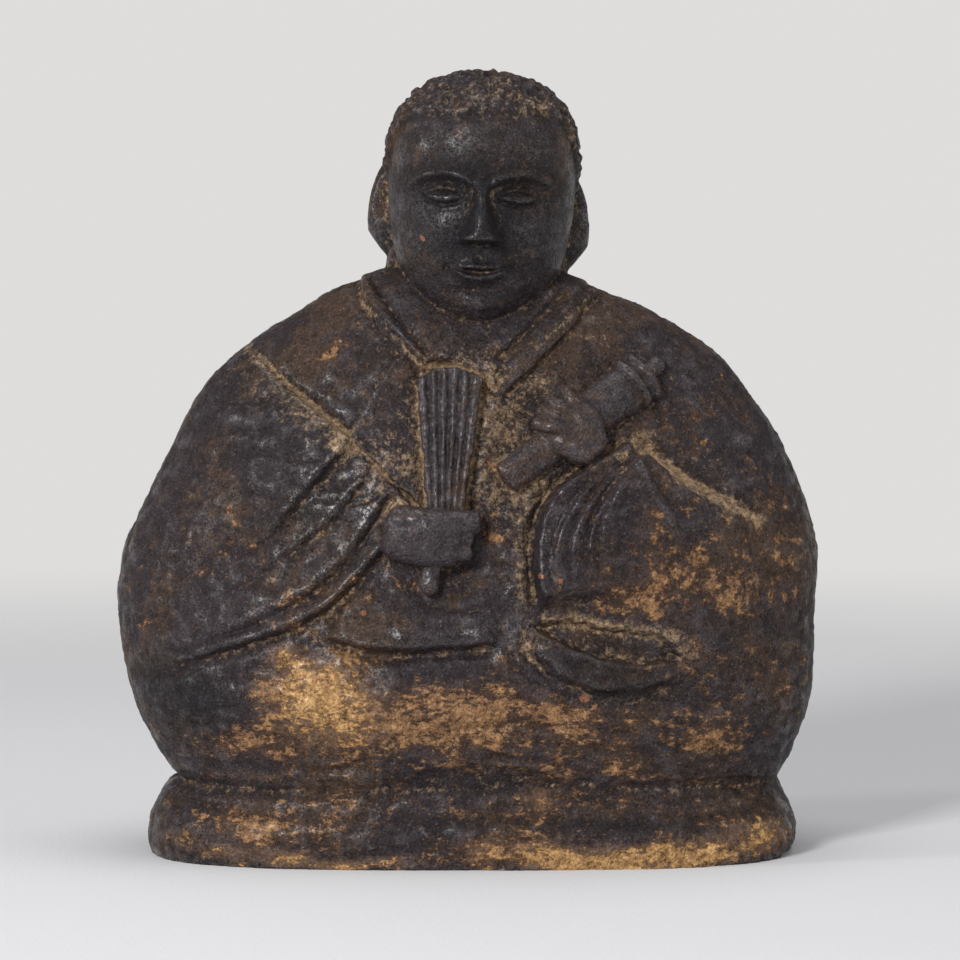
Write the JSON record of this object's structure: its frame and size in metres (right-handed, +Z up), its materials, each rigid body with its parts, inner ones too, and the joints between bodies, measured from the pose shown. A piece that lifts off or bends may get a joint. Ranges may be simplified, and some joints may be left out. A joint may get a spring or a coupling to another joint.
{
  "type": "carved stone figure of a seated monk",
  "caption": "Squat carved stone figure of a robed monk seated on a low foot, with a closed fan in one hand and a rolled scroll in the other.",
  "frame": {"origin": "on the ground, under the middle of the figure's bounding box", "axes": "+Z is up and the figure faces -Y, so +X is on the viewer's right from the front"},
  "size_m": [0.2342, 0.1218, 0.2601],
  "materials": {
    "stone": "dark worn patina with dust in the hollows and bare tan stone on the lap"
  },
  "bodies": {
    "root": {"seated_monk": "stone"}
  },
  "joints": []
}
